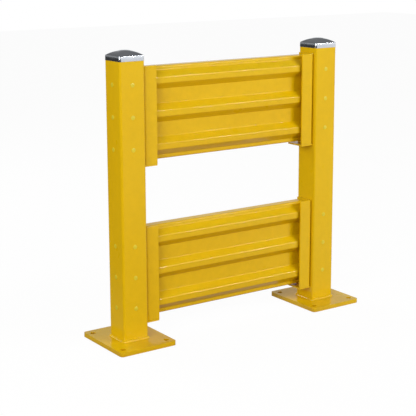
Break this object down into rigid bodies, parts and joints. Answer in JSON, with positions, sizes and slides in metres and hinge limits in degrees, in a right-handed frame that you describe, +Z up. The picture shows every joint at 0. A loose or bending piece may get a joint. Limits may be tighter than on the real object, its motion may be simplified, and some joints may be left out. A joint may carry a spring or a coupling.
{
  "type": "one-bay steel guard rail crash barrier",
  "caption": "Low steel guard barrier: square posts on bolted base plates carry ribbed horizontal rails in angle brackets, with domed bright post caps.",
  "frame": {"origin": "on the floor, midway between the two posts", "axes": "+X along the rails, -Y towards the front where the bracket flanges are, +Z up"},
  "size_m": [1.1, 0.278, 1.057],
  "materials": {
    "post_paint": "glossy yellow powder coat on square steel tube",
    "plate_paint": "glossy yellow powder coat on thick steel plate",
    "rail_paint": "glossy yellow powder coat on bent steel sheet",
    "bracket_paint": "glossy yellow powder coat on bent steel plate",
    "bolt_paint": "glossy yellow powder coat over domed bolt heads",
    "weld_paint": "glossy yellow powder coat over a rippled weld bead",
    "plug_plastic": "satin greenish yellow plastic hole plug",
    "cap_chrome": "bright metallised plastic cap"
  },
  "bodies": {
    "root": {"base_plate_left": "plate_paint", "base_plate_right": "plate_paint", "post_left": "post_paint", "post_right": "post_paint", "foot_weld_left": "weld_paint", "foot_weld_right": "weld_paint", "post_cap_left": "cap_chrome", "post_cap_right": "cap_chrome", "lower_rail": "rail_paint", "upper_rail": "rail_paint", "lower_bracket_left": "bracket_paint", "lower_bracket_right": "bracket_paint", "upper_bracket_left": "bracket_paint", "upper_bracket_right": "bracket_paint", "lower_stop_left": "bracket_paint", "lower_stop_right": "bracket_paint", "upper_stop_left": "bracket_paint", "upper_stop_right": "bracket_paint", "lower_bolts_left": "bolt_paint", "lower_bolts_right": "bolt_paint", "upper_bolts_left": "bolt_paint", "upper_bolts_right": "bolt_paint", "lower_rail_welds_left": "weld_paint", "lower_rail_welds_right": "weld_paint", "upper_rail_welds_left": "weld_paint", "upper_rail_welds_right": "weld_paint", "front_plugs_left": "plug_plastic", "front_plugs_right": "plug_plastic", "back_plugs_left": "plug_plastic", "back_plugs_right": "plug_plastic", "outer_plugs_left": "plug_plastic", "outer_plugs_right": "plug_plastic"}
  },
  "joints": []
}
